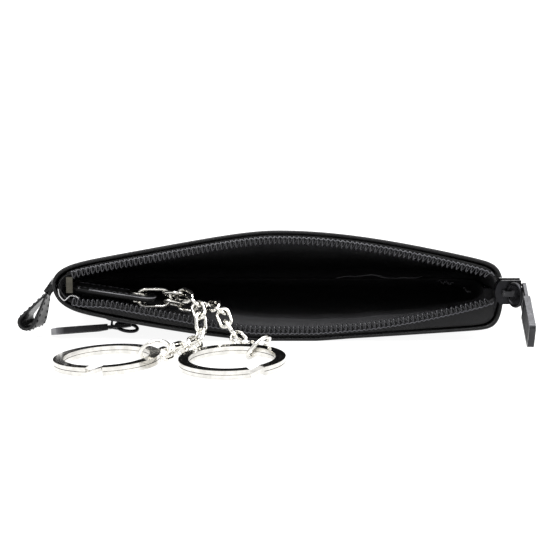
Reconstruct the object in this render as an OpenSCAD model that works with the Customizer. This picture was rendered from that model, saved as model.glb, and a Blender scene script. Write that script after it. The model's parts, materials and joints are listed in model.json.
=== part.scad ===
// Leather key case with an open zip mouth, an outside zip pocket,
// two chains on an inner strap and a flat split ring on each.
// The case lies on its back. X runs along the mouth, +Y goes into the
// case and Z is up. The origin is on the floor below the middle of the mouth.

/* [Case] */
// Width of the leather case
case_w = 111; // [100:1:124]
// Depth from the mouth to the closed edge
case_d = 72; // [60:1:90]
// Height of the open mouth at its middle
mouth_h = 28.2; // [25:0.2:32]
// Height of the left side seam at the mouth
left_seam_h = 14.5; // [13:0.1:16]
// Height of the right side seam at the mouth
right_seam_h = 12.8; // [12:0.1:14]
// Thickness at the closed edge
closed_t = 8.4; // [7.6:0.1:11]
// Radius of the two closed corners
corner_r = 12; // [6:0.5:20]
// Thickness of the leather
leather_t = 1; // [0.8:0.1:1.5]
// Thickness of the turned edge at the mouth
hem_t = 1; // [0.8:0.1:2.4]
// Width of the turned edge
hem_w = 6; // [4:0.5:10]
// Thickness of the lining
lining_t = 0.5; // [0.4:0.1:0.8]

/* [Main zip] */
// Thickness of the zip tapes
tape_t = 0.5; // [0.4:0.1:0.7]
// Width of the bare tape between the lower edge and its coil
low_tape_w = 1.1; // [0.6:0.1:3]
// Width of the bare tape between the upper edge and its coil
top_tape_w = 0.1; // [0.1:0.1:3]
// Pitch of the coil
coil_pitch = 1.2; // [1:0.1:1.6]
// Height of one row of the coil
coil_w = 2.2; // [1.8:0.1:2.6]
// Thickness of the coil
coil_t = 1.3; // [1:0.1:1.6]
// Diameter of the coil's wire
coil_wire = 0.5; // [0.4:0.05:0.6]

/* [Sliders] */
// Length of a slider
slider_l = 6.6; // [5.6:0.2:9]
// Width of a slider
slider_w = 6; // [5:0.2:7]
// Thickness of a slider's plates
slider_t = 0.9; // [0.7:0.1:1.2]
// Height of the crown above the plate
crown_h = 2.5; // [2.4:0.1:3]
// Wire of the bail ring
bail_wire = 0.9; // [0.7:0.05:1]
// Outer diameter of the bail ring
bail_d = 6.4; // [6:0.1:7.2]

/* [Pullers] */
// Length of a puller plate
plate_l = 20; // [14:0.5:26]
// Width of a puller plate
plate_w = 6.5; // [5.5:0.1:8]
// Thickness of a puller plate
plate_t = 1.6; // [1.2:0.1:1.8]
// Depth of the recess in each face
recess_d = 0.35; // [0.2:0.05:0.5]

/* [Loop and strap] */
// Width of the side loop
loop_w = 8; // [5:0.5:12]
// Thickness of the side loop
loop_t = 1; // [0.8:0.1:1.4]
// Length of the side loop
loop_l = 13; // [11:0.5:20]
// Outer diameter of the side loop's round end
loop_d = 5.6; // [4.6:0.2:8]
// Width of the inner strap
strap_w = 8; // [6:0.5:9]
// Thickness of the inner strap
strap_t = 1.5; // [1.2:0.1:2.2]
// Length of the inner strap
strap_l = 21; // [18:0.5:26]

/* [Chains and rings] */
// Outer length of a chain link
link_l = 6; // [5.6:0.1:7]
// Outer width of a chain link
link_w = 4.1; // [3.8:0.1:4.6]
// Wire of the chain links
link_wire = 0.95; // [0.9:0.05:1.1]
// Outer length of the oval ring in the strap
oval_l = 9.4; // [8.6:0.2:12]
// Outer width of the oval ring
oval_w = 5.4; // [5.2:0.1:6.4]
// Wire of the oval ring
oval_wire = 1; // [0.9:0.05:1.1]
// Outer diameter of the jump rings
jump_d = 8; // [7.6:0.1:9]
// Wire of the jump rings
jump_wire = 0.95; // [0.9:0.05:1.1]
// Outer diameter of the split key rings
ring_d = 25.6; // [22:0.2:30]
// Width of the key rings' flat band
band_w = 2.4; // [2:0.1:2.6]
// Thickness of one turn of the key rings
band_t = 0.95; // [0.8:0.05:1]

/* [Hidden] */
$fn = 48;
// Clearance between parts that move, and the overrun of cuts
run_gap = 0.1;
link_gap = 0.3;
cut_extra = 1;
soft_gap = 0.3;
half_w = case_w / 2;

// Shares that shape the open mouth, left and right of its middle
top_fall_shares = [0.81, 1];
top_bend_shares = [0.2, 0.6];
low_fall_shares = [0.81, 0.33];
low_bend_shares = [0.35, 0.3];
end_round = [20, 40];
// Share of the depth from which the closed edge rounds off
edge_round_share = 0.93;

function side_of(t) = t < 0 ? 0 : 1;
function mix(a, b, f) = a + (b - a) * f;
function seam_z(t, s) = mix(mix(left_seam_h, right_seam_h, (t + 1) / 2), closed_t / 2, s);
function end_fall(t) = sqrt(max(0, 1 - pow(min(1, abs(t)), end_round[side_of(t)])));
function edge_fall(s) = s <= edge_round_share ? 1
    : sqrt(max(0, 1 - pow((s - edge_round_share) / (1 - edge_round_share), 2)));
function fall(t, amount, bend) = amount[side_of(t)]
    * (sqrt(t * t + bend[side_of(t)] * bend[side_of(t)]) - bend[side_of(t)]);
function top_rise(t) = (mouth_h - seam_z(t, 0)) * (1 - fall(t, top_fall_shares, top_bend_shares));
function low_drop(t) = seam_z(t, 0) * (1 - fall(t, low_fall_shares, low_bend_shares));
// The underside follows the pocket zip's arc where that zip lies, and has a
// flat patch where it rests
rest_cut = 0.2;
function arc_share(s) = ease(0.15 * pocket_share, 0.6 * pocket_share, s)
    * (1 - ease(1.4 * pocket_share, 2.3 * pocket_share, s));
function flat_low(z) = min(z, 1.5 * max(0, z - rest_cut));
function flat_drop(t, s) = let (own = (seam_z(t, 0) - low_drop(t)) * pow(1 - s, 1.5))
    seam_z(t, s) - flat_low(mix(own, arc_z(t * half_w), arc_share(s)));
function rise(t, s, up) = up > 0 ? mix(top_rise(t), closed_t / 2, s) : flat_drop(t, s);
function plan_half(s) = let (y = s * case_d, in = case_d - corner_r)
    y <= in ? half_w : half_w - corner_r + sqrt(max(0, corner_r * corner_r - (y - in) * (y - in)));

// A point of a skin that lies off inside the case's outer form.
// t runs across the case and s from the mouth to the closed edge.
function skin_pt(t, s, up, off) = [
    t * (plan_half(s) - off),
    s * (case_d - off),
    seam_z(t, s) + up * max(0, rise(t, s, up) - off) * end_fall(t) * edge_fall(s)];

across_n = 32;
// Rows of a skin, tied to the pocket zip and then to the depth
pocket_y = 12;
pocket_share = pocket_y / case_d;
pocket_row_shares = [0, 0.18, 0.37, 0.55, 0.65, 0.74, 1, 1.3, 1.6, 2];
row_shares = concat([for (f = pocket_row_shares) f * pocket_share],
    [0.4, 0.46, 0.56, 0.68, 0.8, 0.9, 0.95, 0.98, 1]);
function across(i, n) = -cos(180 * i / n);
function rows_from(from) = concat([from], [for (s = row_shares) if (s > from + row_shares[1] / 4) s]);

// A curved sheet between two depths below the outer form, from a depth share on
module skin(up, off_fn0, off_fn1, from = 0, na = across_n) {
    rows = rows_from(from);
    nd = len(rows) - 1;
    ts = [for (i = [0:na]) across(i, na)];
    outer = [for (s = rows) for (t = ts) skin_pt(t, s, up, off_at(s, off_fn0, t))];
    inner = [for (s = rows) for (t = ts) skin_pt(t, s, up, off_at(s, off_fn1, t))];
    row = na + 1;
    m = len(outer);
    flip = up < 0;
    quads = concat(
        [for (j = [0:nd - 1]) for (i = [0:na - 1])
            [j * row + i, j * row + i + 1, (j + 1) * row + i + 1, (j + 1) * row + i]],
        [for (j = [0:nd - 1]) for (i = [0:na - 1])
            [m + (j + 1) * row + i, m + (j + 1) * row + i + 1, m + j * row + i + 1, m + j * row + i]],
        [for (i = [0:na - 1]) [m + i, m + i + 1, i + 1, i]],
        [for (i = [0:na - 1])
            [nd * row + i, nd * row + i + 1, m + nd * row + i + 1, m + nd * row + i]],
        [for (j = [0:nd - 1]) [j * row, (j + 1) * row, m + (j + 1) * row, m + j * row]],
        [for (j = [0:nd - 1])
            [m + j * row + na, m + (j + 1) * row + na, (j + 1) * row + na, j * row + na]]);
    tris = [for (q = quads) each [[q[0], q[1], q[2]], [q[0], q[2], q[3]]]];
    polyhedron(concat(outer, inner), flip ? tris : [for (f = tris) [f[2], f[1], f[0]]]);
}

// Depth of a skin below the outer form, by layer name, at depth share s
function ease(a, b, x) = let (f = max(0, min(1, (x - a) / (b - a)))) f * f * (3 - 2 * f);
hem_share = hem_w / case_d;
pocket_tape_off = leather_t + 6 * run_gap;
pocket_room = pocket_tape_off + tape_t + slider_t + 5 * run_gap;
bag_room = pocket_tape_off + tape_t + soft_gap;
function over_zip(t) = 1 - ease(-arc_from + soft_gap, -arc_from + 3 * tape_end, abs(t) * half_w);
function off_at(s, layer, t = 0) =
    layer == "outside" ? 0
    : layer == "leather" ? mix(hem_t, leather_t, ease(0.74 * hem_share, 1.1 * hem_share, s))
    : layer == "liner_top" ? hem_t + tape_t
    : layer == "liner_top_in" ? hem_t + tape_t + lining_t
    : layer == "bag" ? mix(bag_room, leather_t + soft_gap, ease(1.8 * pocket_share, 0.6, s))
    : layer == "bag_in" ? off_at(s, "bag") + lining_t
    : layer == "liner_low" ? mix(off_at(s, "leather") + soft_gap,
        mix(pocket_room, off_at(s, "bag_in") + soft_gap, ease(1.3 * pocket_share, 1.6 * pocket_share, s)),
        mix(over_zip(t), 1, ease(pocket_share, 1.3 * pocket_share, s))
            * ease(0.6 * pocket_share, 0.74 * pocket_share, s))
    : off_at(s, "liner_low", t) + lining_t;

// Zip end at the right: the leather is left open there
zip_end_open = 3.4;
zip_end_deep = 9;
module zip_end_notch() {
    translate([half_w - hem_t - 2 * cut_extra, -cut_extra, right_seam_h - zip_end_open])
        cube([hem_t + 4 * cut_extra, zip_end_deep + cut_extra, 2 * zip_end_open]);
}

// The outside pocket's zip follows an arc below the case
arc_r = 290;
arc_x = 8;
arc_from = -46;
arc_to = 42;
window_w = slider_w + 2 * soft_gap;
// How far the pocket's tape reaches past its window
tape_side = 0.6;
tape_end = 1.5;
function arc_deg(x) = asin((x - arc_x) / arc_r);
function arc_z(x) = arc_r - sqrt(arc_r * arc_r - (x - arc_x) * (x - arc_x));

// A strip bent along the arc, from radius r0 to r1, w wide, between two x
module arc_strip(r0, r1, w, x0, x1) {
    translate([arc_x, pocket_y, arc_r])
        rotate([90, 0, 0])
            rotate([0, 0, arc_deg(x0) - 90])
                rotate_extrude(angle = arc_deg(x1) - arc_deg(x0), $fn = 180)
                    translate([r0, -w / 2]) square([r1 - r0, w]);
}

// The main zip's tapes hang across the mouth, just inside the hem
tape_y = 0.4;
row_gap = 0.9;
coil_gap = coil_w / 2 + run_gap;
function rim_x(t, off) = t * (half_w - off);
function rim_z(t, up, off) = seam_z(t, 0) + up * max(row_gap, (rise(t, 0, up) - off) * end_fall(t));
tape_off = hem_t + 1.6 * soft_gap;
function coil_off(up) = tape_off + (up > 0 ? top_tape_w : low_tape_w);
tape_from = 3;
module zip_tape(up) {
    ts = [for (i = [tape_from:across_n - 2]) across(i, across_n)];
    edge = concat(
        [for (t = ts) [t * (half_w - tape_off),
            seam_z(t, 0) + up * max(1.5 * row_gap, (rise(t, 0, up) - tape_off) * end_fall(t))]],
        [for (i = [len(ts) - 1:-1:0]) let (t = ts[i])
            [t * (half_w - tape_off), rim_z(t, up, coil_off(up) + coil_w / 2)]]);
    translate([0, tape_y + tape_t, 0]) rotate([90, 0, 0]) linear_extrude(tape_t) polygon(edge);
}

// One turn of the coil: a flat loop of wire that stands across the tape
module coil_turn() {
    leg = coil_w - coil_t;
    r = (coil_t - coil_wire) / 2;
    rotate([90, 0, 90]) translate([-coil_t / 2, 0, -coil_wire / 2]) linear_extrude(coil_wire) {
        difference() {
            union() {
                translate([0, -leg / 2]) circle(d = coil_t, $fn = 16);
                translate([0, leg / 2]) circle(d = coil_t, $fn = 16);
                square([coil_t, leg], center = true);
            }
            square([coil_t - 2 * coil_wire, leg], center = true);
        }
    }
}
coil_from_share = -0.93;
coil_to_share = 0.97;
turn_lean = 12;
module zip_coil(up) {
    span = (coil_to_share - coil_from_share) * (half_w - tape_off);
    n = floor(span / coil_pitch);
    for (i = [0:n]) {
        t = coil_from_share + i * coil_pitch / (half_w - tape_off);
        dt = coil_pitch / half_w;
        own = rim_z(t, up, coil_off(up) + coil_w / 2) - seam_z(t, 0);
        z = seam_z(t, 0) + up * max(coil_gap, abs(own));
        slope = atan2(rim_z(t + dt, up, coil_off(up)) - rim_z(t - dt, up, coil_off(up)), 2 * coil_pitch);
        translate([t * (half_w - tape_off), tape_y, z]) rotate([0, turn_lean * up - slope, 0]) coil_turn();
    }
}

// The short closed stretch of zip beyond the leather at the right, with its stop
zip_tail_l = 5.4;
zip_tail_w = 5.4;
stop_l = 1.6;
stop_w = 2;
module zip_tail() {
    translate([slider_x - slider_l / 2 + neck_l + 3 * run_gap, tape_y, right_seam_h - zip_tail_w / 2])
        cube([zip_tail_l, tape_t, zip_tail_w]);
}
module top_stop(up) {
    t = coil_from_share - 1.6 * coil_pitch / half_w;
    room = (rise(t, 0, up) - hem_t) * end_fall(t) - 1.5 * soft_gap;
    high = min(stop_w, room);
    translate([t * (half_w - tape_off) - stop_l / 2, tape_y - coil_t, seam_z(t, 0) + min(0, up * high)])
        cube([stop_l, coil_t, high]);
}

module upper_panel() {
    color("#17171a") difference() {
        skin(1, "outside", "leather");
        zip_end_notch();
    }
}
module lower_panel() {
    color("#141417") difference() {
        skin(-1, "outside", "leather");
        zip_end_notch();
        arc_strip(arc_r - leather_t - 2 * cut_extra, arc_r + 2 * cut_extra, window_w, arc_from, arc_to);
    }
}
liner_share = (tape_y + tape_t + slider_t + 2 * soft_gap) / case_d;
module upper_lining() { color("#0b0b0c") skin(1, "liner_top", "liner_top_in", liner_share); }
module lower_lining() { color("#0b0b0c") skin(-1, "liner_low", "liner_low_in", liner_share); }

// Outside pocket: a closed zip behind the window, and its bag
pocket_tape_w = window_w + 2 * tape_side;
module pocket_zip_tape() {
    color("#2c2c30") difference() {
        arc_strip(arc_r - pocket_tape_off - tape_t, arc_r - pocket_tape_off, pocket_tape_w,
            arc_from - tape_end, arc_to + tape_end);
        arc_strip(arc_r - pocket_tape_off - 2 * tape_t, arc_r - pocket_tape_off + tape_t,
            neck_w + 4 * run_gap, arc_from, arc_to);
    }
}
module pocket_zip_coil() {
    n = floor((arc_to - arc_from - 2 * coil_pitch) / coil_pitch);
    color("#3a3a3e") for (i = [0:n]) {
        x = arc_from + (i + 1.5) * coil_pitch;
        for (s = [-1, 1])
            at_arc(x + (s > 0 ? coil_pitch / 2 : 0))
                translate([0, -run_gap, s * (coil_w / 2 + neck_w / 2 + run_gap)]) coil_turn();
    }
}
module pocket_bag() {
    color("#101011") skin(-1, "bag", "bag_in", (pocket_y + slider_w / 2 + 3 * soft_gap) / case_d);
}

// A slider lies with its length along X and its crown towards -Y.
// Its channel holds the tapes between two plates that a neck joins.
channel = tape_t + coil_t + 2 * soft_gap;
neck_w = 0.5;
neck_l = 1.3;
crown_w = 1.3;
crown_t = 0.6;
crown_wall = 0.5;
module slider_body() {
    front = -coil_t - soft_gap - slider_t;
    for (y = [front, tape_t + soft_gap])
        translate([0, y, 0]) rotate([-90, 0, 0]) linear_extrude(slider_t) intersection() {
            square([slider_l, slider_w], center = true);
            translate([slider_w / 6, 0]) circle(d = 1.25 * slider_l);
        }
    translate([-slider_l / 2 + run_gap, front + slider_t / 2, -neck_w / 2])
        cube([neck_l, channel + slider_t, neck_w]);
}
module slider_crown() {
    front = -coil_t - soft_gap - slider_t;
    eye = bail_wire + 10 * run_gap;
    half = eye / 2 + crown_wall;
    translate([0, front, -crown_w / 2]) linear_extrude(crown_w) difference() {
        translate([-half, -crown_h]) square([2 * half, crown_h]);
        translate([0, -crown_h + crown_t + eye / 2]) circle(d = eye);
        translate([-eye / 2, -crown_h + crown_t + eye / 2]) square([eye, crown_h]);
        for (s = [-1, 1]) translate([s * half, -crown_h]) rotate([0, 0, 45]) square(crown_t, center = true);
    }
}
// Middle of the crown's eye, in the slider's own frame
eye_y = -coil_t - soft_gap - slider_t - crown_h + crown_t + bail_wire / 2 + run_gap;

// A ring of round wire in the XY plane
module wire_ring(outer, wire) {
    rotate_extrude() translate([(outer - wire) / 2, 0]) circle(d = wire, $fn = 24);
}

// A puller plate lies along +X from its slot, with its faces across Z
slot_l = 4.2;
slot_w = 4.4;
slot_in = 1.2;
plate_r = 1.2;
// The plate thins to a tongue round its slot
tongue_l = 6.6;
tongue_t = plate_t / 2;
module rounded_plate(l, w, r) {
    square([l - 2 * r, w], center = true);
    square([l, w - 2 * r], center = true);
    for (x = [-1, 1]) for (y = [-1, 1]) translate([x * (l / 2 - r), y * (w / 2 - r)]) circle(r = r);
}
plate_rim = 0.9;
plate_mid = plate_l / 2 - slot_in - slot_w / 2;
recess_from = tongue_l - slot_in - slot_w / 2 + plate_rim;
recess_l = plate_l - tongue_l - 2 * plate_rim;
module puller_plate() {
    difference() {
        translate([plate_mid, 0, -plate_t / 2]) linear_extrude(plate_t)
            rounded_plate(plate_l, plate_w, plate_r);
        translate([0, 0, -plate_t]) linear_extrude(2 * plate_t)
            rounded_plate(slot_w, slot_l, slot_w / 2 - run_gap);
        for (s = [-1, 1]) {
            translate([0, 0, s * plate_t / 2]) recess(2 * recess_d);
            translate([tongue_l / 2 - slot_in - slot_w / 2, 0, s * (tongue_t / 2 + plate_t / 2)])
                translate([-cut_extra / 2, 0, 0])
                    cube([tongue_l + cut_extra, 2 * plate_w, plate_t], center = true);
        }
    }
}
module recess(h) {
    translate([recess_from + recess_l / 2, 0, -h / 2]) linear_extrude(h)
        rounded_plate(recess_l, plate_w - 2 * plate_rim, plate_r / 2);
}
module puller_insert() {
    for (s = [-1, 1]) translate([0, 0, s * (plate_t / 2 - recess_d * 3 / 4)]) recess(recess_d / 2);
}

// A point of a ring that is turned about its eye
bail_r = (bail_d - bail_wire) / 2;
function turn_x(p, a) = [p[0], p[1] * cos(a) - p[2] * sin(a), p[1] * sin(a) + p[2] * cos(a)];
function turn_y(p, a) = [p[0] * cos(a) + p[2] * sin(a), p[1], p[2] * cos(a) - p[0] * sin(a)];
function turn_z(p, a) = [p[0] * cos(a) - p[1] * sin(a), p[0] * sin(a) + p[1] * cos(a), p[2]];
function bail_pt(p, a) = turn_y(turn_z(turn_x(p, a[0]), a[2]), a[1]);

// Main slider at the right end of the open zip
// Its ring is turned towards the mouth and the plate hangs from it
slider_out = 1.8;
slider_x = half_w + slider_out;
slider_y = tape_y;
slider_z = right_seam_h;
main_bail_turn = [90, 0, -58.72];
main_plate_turn = [-91.74, 23.91, -88.52];
main_grip_deg = 144.04;
main_grip_shift = [-0.37, -0.76, 0.96];
main_eye = [slider_x, slider_y + eye_y, slider_z];
main_slot = main_eye
    + bail_pt([bail_r - bail_r * cos(main_grip_deg), -bail_r * sin(main_grip_deg), 0], main_bail_turn);
module at_main() { translate([slider_x, slider_y, slider_z]) children(); }
module main_slider() { color("#28282b") at_main() slider_body(); }
module main_crown() { color("#6a6a6e") at_main() slider_crown(); }
module main_bail_ring() {
    color("#2a2a2d") translate(main_eye) rotate(main_bail_turn) translate([bail_r, 0, 0])
        wire_ring(bail_d, bail_wire);
}
module at_main_plate() { translate(main_slot) rotate(main_plate_turn) translate(main_grip_shift) children(); }
module main_puller() { color("#a9abb0") at_main_plate() puller_plate(); }
module main_puller_insert() { color("#1d1d20") at_main_plate() puller_insert(); }

// Pocket slider below the case, on the closed zip's left end
pocket_x = -41;
pocket_turn = arc_deg(pocket_x);
pocket_at = [arc_x + (arc_r - pocket_tape_off) * sin(pocket_turn), pocket_y,
    arc_r - (arc_r - pocket_tape_off) * cos(pocket_turn)];
module at_arc(x) {
    translate([arc_x, pocket_y, arc_r]) rotate([0, -arc_deg(x), 0]) translate([0, 0, pocket_tape_off - arc_r])
        rotate([90, 0, 0]) children();
}
module at_pocket() { at_arc(pocket_x) children(); }
function pocket_pt(p) = pocket_at + [
    p[0] * cos(pocket_turn) - p[1] * sin(pocket_turn), -p[2],
    p[0] * sin(pocket_turn) + p[1] * cos(pocket_turn)];
pocket_eye = pocket_pt([0, eye_y, 0]);
// The ring leans in the crown, and the plate lies away from it to the left
pocket_bail_turn = [99.61, -5.83, -2.23];
pocket_plate_turn = [13.59, 0, 202.27];
pocket_grip_deg = 26.86;
pocket_grip_shift = [0.03, -0.37, -0.03];
pocket_slot = pocket_pt([0, eye_y, 0]
    + bail_pt([bail_r - bail_r * cos(pocket_grip_deg), bail_r * sin(pocket_grip_deg), 0], pocket_bail_turn));
module pocket_slider() { color("#28282b") at_pocket() slider_body(); }
module pocket_crown() { color("#3a3a3d") at_pocket() slider_crown(); }
module pocket_bail_ring() { color("#2a2a2d") at_pocket() translate([0, eye_y, 0])
    rotate([0, pocket_bail_turn[1], 0]) rotate([pocket_bail_turn[0], 0, pocket_bail_turn[2]])
        translate([bail_r, 0, 0]) wire_ring(bail_d, bail_wire); }
module at_pocket_plate() {
    translate(pocket_slot) rotate(pocket_plate_turn) translate(pocket_grip_shift) children();
}
module pocket_puller() { color("#a9abb0") at_pocket_plate() puller_plate(); }
module pocket_puller_insert() { color("#1d1d20") at_pocket_plate() puller_insert(); }

// Side loop: a strap folded to a teardrop, its root at the left seam
loop_y = 2.5;
loop_seat = 1.5;
loop_root = [-half_w - 2.4 * soft_gap, loop_y, left_seam_h - loop_seat];
loop_dip = 54;
// The loop's far side is turned away from the seam
loop_yaw = 10;
module teardrop(l, d) {
    side = sqrt((l - d / 2) * (l - d / 2) - d * d / 4);
    a = acos(d / 2 / (l - d / 2));
    translate([l - d / 2, 0]) circle(d = d);
    polygon([[0, 0], [l - d / 2 - d / 2 * cos(a), d / 2 * sin(a)], [l - d / 2, 0],
        [l - d / 2 - d / 2 * cos(a), -d / 2 * sin(a)]]);
}
module side_loop() {
    color("#161618") translate(loop_root) rotate([90, 0, 180 + loop_yaw]) rotate([0, 0, -loop_dip])
        linear_extrude(loop_w) difference() {
            union() {
                teardrop(loop_l, loop_d);
                translate([0, -loop_t]) square([2 * loop_t, 2 * loop_t]);
            }
            translate([3 * loop_t, 0]) teardrop(loop_l - 4 * loop_t, loop_d - 2 * loop_t);
        }
}

// Inner strap: it slopes from the left seam to its round end with the eyelet
strap_in = 3.7;
strap_y = 2.6;
strap_seat = 2.4;
strap_room = 2.3;
strap_root = [-half_w + strap_in, strap_y, left_seam_h - strap_seat];
// It dips until its end is just above the lining
strap_tip_x = strap_root[0] + strap_l;
strap_end_z = arc_z(strap_tip_x) + pocket_room + lining_t + strap_room;
strap_dip = asin((strap_root[2] - strap_end_z) / strap_l);
eyelet_d = 3.4;
eyelet_in = 4.6;
eyelet_rim = 0.8;
eyelet_flange = 0.4;
module at_strap() { translate(strap_root) rotate([0, strap_dip, 0]) children(); }
module inner_strap() {
    color("#141416") at_strap() linear_extrude(strap_t) difference() {
        union() {
            square([strap_l - strap_w / 2, strap_w]);
            translate([strap_l - strap_w / 2, strap_w / 2]) circle(d = strap_w);
        }
        translate([strap_l - eyelet_in, strap_w / 2]) circle(d = eyelet_d + 2 * run_gap);
    }
}
module eyelet() {
    color("#c9c9c9") at_strap() translate([strap_l - eyelet_in, strap_w / 2, -eyelet_flange])
        rotate_extrude() translate([eyelet_d / 2 - eyelet_rim / 2, 0]) {
            square([eyelet_rim / 2, strap_t + 2 * eyelet_flange]);
            for (z = [0, strap_t + eyelet_flange])
                translate([0, z]) square([eyelet_rim * 3 / 2, eyelet_flange]);
        }
}
eyelet_mid = strap_root + [(strap_l - eyelet_in) * cos(strap_dip) + strap_t / 2 * sin(strap_dip), strap_w / 2,
    -(strap_l - eyelet_in) * sin(strap_dip) + strap_t / 2 * cos(strap_dip)];
oval_reach = oval_l / 2 - oval_wire / 2 - 2 * run_gap;
oval_drop = oval_w / 2 - oval_wire - strap_t / 2 - eyelet_flange - run_gap;
oval_at = eyelet_mid + [oval_reach, 0, -oval_drop];

// A link of round wire: its length along X, its flat face across Z
module link(l, w, wire) {
    r = (w - wire) / 2;
    leg = l - w;
    for (s = [0, 1]) rotate([0, 0, 180 * s]) translate([leg / 2, 0, 0]) rotate([0, 0, -90])
        rotate_extrude(angle = 180) translate([r, 0]) circle(d = wire, $fn = 24);
    for (s = [-1, 1]) translate([-leg / 2, s * r, 0]) rotate([0, 90, 0])
        cylinder(d = wire, h = leg, $fn = 24);
}
module oval_ring() { color("#d8d8d8") translate(oval_at) rotate([90, 0, 0]) link(oval_l, oval_w, oval_wire); }

// Each chain is a list of links: heading, climb and roll in degrees
form_a = [[-28.6, 6, -20], [-46, -10, 50], [-57, -16, -45], [-71, -38, 45], [-82, -64, -38], [-104, -10, 42],
    [-111, 0, -45], [-117, 0, 45], [-117, 0, -45], [-118, 0, 45], [-113, 0, -45]];
form_b = [[3, -12, -25], [-16, -4, 45], [-34, 6, -45], [-52, 8, 45], [-68, -10, -35], [-62, -44, 50],
    [-46, -40, -45], [-57, -10, 45], [-66, 0, -45], [-70, 0, 45], [-72, 0, -45]];
step = link_l - 2 * link_wire - link_gap;
function heading(a) = [cos(a[1]) * cos(a[0]), cos(a[1]) * sin(a[0]), sin(a[1])];
function pivot(start, chain, k) = k == 0 ? start : pivot(start, chain, k - 1) + step * heading(chain[k - 1]);
// The link that reaches the floor takes the climb that brings it to the floor links' height
floor_z = (link_w - link_wire) / 2 * sin(45) + link_wire / 2 + run_gap / 5;
function settled(start, chain, at) = let (fall = (pivot(start, chain, at)[2] - floor_z) / step)
    [for (k = [0:len(chain) - 1]) k == at
        ? [chain[k][0], -asin(max(-1, min(1, fall))), chain[k][2]]
        : chain[k]];
hook_r = (oval_w - oval_wire) / 2 - (oval_wire + link_wire + link_gap) / 4;
hook_deg = 38;
oval_end = oval_at + [(oval_l - oval_w) / 2, 0, 0];
start_a = oval_end + [hook_r * cos(hook_deg), 0, hook_r * sin(hook_deg)];
start_b = oval_end + [hook_r * cos(hook_deg), 0, -hook_r * sin(hook_deg)];
chain_a = settled(start_a, form_a, 5);
chain_b = settled(start_b, form_b, 7);
module chain_link(start, chain, k) {
    a = chain[k];
    color("#e2e2e2") translate(pivot(start, chain, k) + step / 2 * heading(a)) rotate([a[2], -a[1], a[0]])
        link(link_l, link_w, link_wire);
}

// A jump ring stands on the floor past the chain's last pivot, and the key
// ring's band passes through it, raised at that side by the ring's wire
jump_lean = 40;
jump_r = (jump_d - jump_wire) / 2;
band_off = 0.35;
key_r = (ring_d - band_w) / 2;
turn_gap = 0.15;
key_t = 2 * band_t + turn_gap;
jump_z = jump_r * cos(jump_lean) + jump_wire / 2;
function jump_at(p, a) = let (r = jump_r - (jump_wire + link_wire + link_gap) / 4,
    up = (jump_z - p[2]) / cos(jump_lean), out = sqrt(r * r - up * up), side = up * sin(jump_lean))
    [p[0] + out * cos(a) - side * sin(a), p[1] + out * sin(a) + side * cos(a), jump_z];
module jump_ring(p, a) {
    color("#e2e2e2") translate(jump_at(p, a)) rotate([0, 0, a]) rotate([90 - jump_lean, 0, 0])
        wire_ring(jump_d, jump_wire);
}
key_rise = 0.35;
key_lift = jump_wire + run_gap + key_rise;
key_tilt = asin(key_lift / (ring_d - band_w));
function key_grip(p, a) = let (j = jump_at(p, a))
    [j[0] + band_off * cos(a), j[1] + band_off * sin(a), key_lift + key_t / 2 + band_w / 2 * sin(key_tilt)];
ramp_deg = 9;
module key_ring(p, a) {
    color("#dcdcdc") translate(key_grip(p, a)) rotate([0, 0, a]) rotate([0, key_tilt, 0])
        translate([key_r, 0, 0]) split_ring();
}
// Two turns of flat band, joined by a slope between their free ends
module split_ring() {
    rise_z = band_t + turn_gap;
    run = 2 * key_r * tan(ramp_deg);
    rotate([0, 0, 60]) {
        for (s = [-1, 1]) rotate([0, 0, ramp_deg]) rotate_extrude(angle = 360 - 2 * ramp_deg, $fn = 96)
            translate([key_r - band_w / 2, s * rise_z / 2 - band_t / 2]) square([band_w, band_t]);
        translate([key_r, 0, 0]) rotate([atan(rise_z / run), 0, 0])
            cube([band_w - run_gap, run + 4 * run_gap, band_t - run_gap], center = true);
    }
}
end_a = pivot(start_a, chain_a, len(chain_a));
end_b = pivot(start_b, chain_b, len(chain_b));
turn_a = -160;
turn_b = -121;

link_names_a = [for (k = [1:len(chain_a)]) str("chain_a_link_", k)];
link_names_b = [for (k = [1:len(chain_b)]) str("chain_b_link_", k)];

upper_panel();
lower_panel();
upper_lining();
lower_lining();
pocket_bag();
color("#2b2b2f") zip_tape(1);  // upper_tape
color("#2b2b2f") zip_tape(-1);  // lower_tape
color("#3a3a3e") zip_coil(1);  // upper_coil
color("#3a3a3e") zip_coil(-1);  // lower_coil
color("#2b2b2f") zip_tail();
color("#b8b8ae") for (up = [-1, 1]) top_stop(up);  // top_stops
pocket_zip_tape();
pocket_zip_coil();
main_slider();
main_crown();
main_bail_ring();
main_puller();
main_puller_insert();
pocket_slider();
pocket_crown();
pocket_bail_ring();
pocket_puller();
pocket_puller_insert();
side_loop();
inner_strap();
eyelet();
oval_ring();
jump_ring(end_a, turn_a);  // jump_ring_a
jump_ring(end_b, turn_b);  // jump_ring_b
key_ring(end_a, turn_a);  // key_ring_a
key_ring(end_b, turn_b);  // key_ring_b
for (k = [0:len(chain_a) - 1])
    chain_link(start_a, chain_a, k);
for (k = [0:len(chain_b) - 1])
    chain_link(start_b, chain_b, k);
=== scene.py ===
import json
import math
import bpy
import bmesh
import numpy as np
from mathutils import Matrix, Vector, noise


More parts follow.
